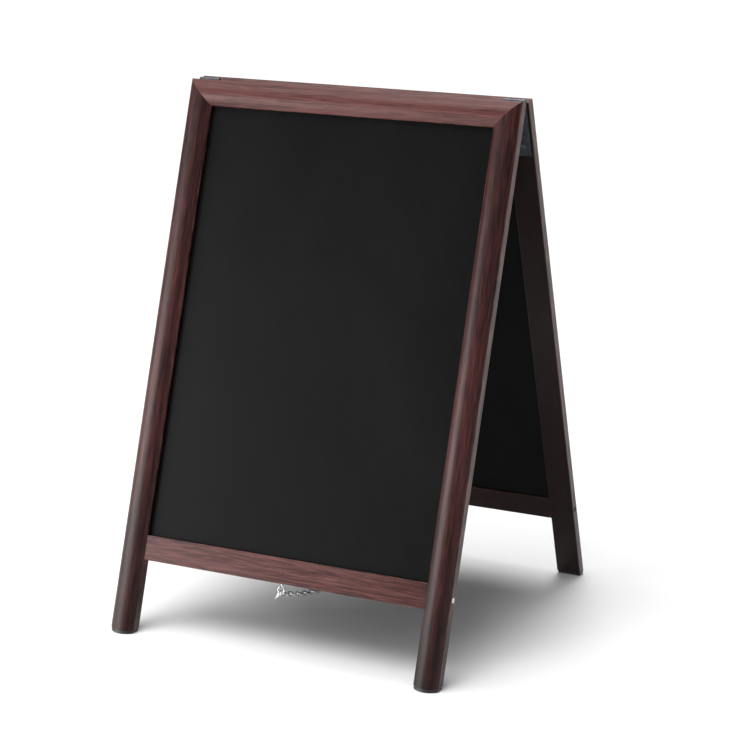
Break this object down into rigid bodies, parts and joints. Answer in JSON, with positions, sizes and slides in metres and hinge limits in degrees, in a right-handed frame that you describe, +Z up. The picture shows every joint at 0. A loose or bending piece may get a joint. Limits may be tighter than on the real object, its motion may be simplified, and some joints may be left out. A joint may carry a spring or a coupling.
{
  "type": "sandwich board",
  "caption": "Folding A-frame chalkboard: mitred timber frames with a rounded face, joined by strap hinges at the top and a chain between the bottom rails.",
  "frame": {"origin": "on the floor, at the centre of the open board's footprint, under the hinge pins", "axes": "+Z up; +X across the board, along the hinge pins; +Y from the front frame to the rear frame"},
  "size_m": [0.55, 0.5872, 0.8127],
  "materials": {
    "stained_wood_stiles": "satin stained timber",
    "stained_wood_rails": "satin stained timber",
    "chalkboard_black": "matt writing surface",
    "bare_wood": "unfinished beech",
    "black_plastic": "moulded",
    "bright_steel": "bright zinc plate",
    "hinge_steel": "blued rolled steel",
    "screw_steel": "zinc plate"
  },
  "bodies": {
    "front_frame": {"front_left_stile": "stained_wood_stiles", "front_right_stile": "stained_wood_stiles", "front_top_rail": "stained_wood_rails", "front_bottom_rail": "stained_wood_rails", "front_chalkboard": "chalkboard_black", "front_mitre_keys": "bare_wood", "front_rail_dowels": "bare_wood", "front_rail_screws": "screw_steel", "front_foot_pads": "black_plastic", "front_pad_nails": "screw_steel", "front_screw_eye": "bright_steel", "left_hinge_front_strap": "hinge_steel", "right_hinge_front_strap": "hinge_steel", "left_hinge_pin": "hinge_steel", "right_hinge_pin": "hinge_steel", "front_hinge_screws": "screw_steel"},
    "rear_frame": {"rear_left_stile": "stained_wood_stiles", "rear_right_stile": "stained_wood_stiles", "rear_top_rail": "stained_wood_rails", "rear_bottom_rail": "stained_wood_rails", "rear_chalkboard": "chalkboard_black", "rear_mitre_keys": "bare_wood", "rear_rail_dowels": "bare_wood", "rear_rail_screws": "screw_steel", "rear_foot_pads": "black_plastic", "rear_pad_nails": "screw_steel", "rear_screw_eye": "bright_steel", "left_hinge_rear_strap": "hinge_steel", "right_hinge_rear_strap": "hinge_steel", "rear_hinge_screws": "screw_steel"},
    "chain_front_drop": {"chain_front_drop": "bright_steel"},
    "chain_front_run": {"chain_front_run": "bright_steel"},
    "chain_bight": {"chain_bight": "bright_steel"},
    "chain_rear_run": {"chain_rear_run": "bright_steel"},
    "chain_rear_drop": {"chain_rear_drop": "bright_steel"},
    "chain_spare_link": {"chain_spare_link": "bright_steel"}
  },
  "joints": [
    {"name": "fold", "type": "hinge", "parent": "front_frame", "child": "rear_frame", "pos_m": [0, 0, 0.80967], "axis": [-1, 0, 0], "range_deg": [0, 36.4]},
    {"name": "front_eye_swing", "type": "hinge", "parent": "front_frame", "child": "chain_front_drop", "pos_m": [0.0014, -0.2468, 0.09263], "axis": [1, 0, 0], "range_deg": [-80, 0]},
    {"name": "front_run_bend", "type": "hinge", "parent": "chain_front_drop", "child": "chain_front_run", "pos_m": [0.0014, -0.16827, 0.06802], "axis": [0, 0.2517, 0.9678], "range_deg": [-88.8, 0]},
    {"name": "bight_bend", "type": "hinge", "parent": "chain_front_run", "child": "chain_bight", "pos_m": [0.0014, -0.01655, 0.04756], "axis": [1, 0, 0], "range_deg": [0, 52.9]},
    {"name": "rear_eye_swing", "type": "hinge", "parent": "rear_frame", "child": "chain_rear_drop", "pos_m": [0.0014, 0.2468, 0.09263], "axis": [1, 0, 0], "range_deg": [0, 130]},
    {"name": "rear_run_bend", "type": "hinge", "parent": "chain_rear_drop", "child": "chain_rear_run", "pos_m": [0.0014, 0.16827, 0.06802], "axis": [0, -0.2517, 0.9678], "range_deg": [0, 90.8]},
    {"name": "spare_link_swing", "type": "hinge", "parent": "front_frame", "child": "chain_spare_link", "pos_m": [-0.00242, -0.24668, 0.09302], "axis": [0.8829, 0, -0.4695], "range_deg": [-30, 30]}
  ],
  "couplings": [
    {"joint": "front_eye_swing", "follows": "fold", "ratio": -2.1951},
    {"joint": "front_run_bend", "follows": "fold", "ratio": -2.4387},
    {"joint": "bight_bend", "follows": "fold", "ratio": 1.4513},
    {"joint": "rear_eye_swing", "follows": "fold", "ratio": 3.5701},
    {"joint": "rear_run_bend", "follows": "fold", "ratio": 2.4921}
  ]
}
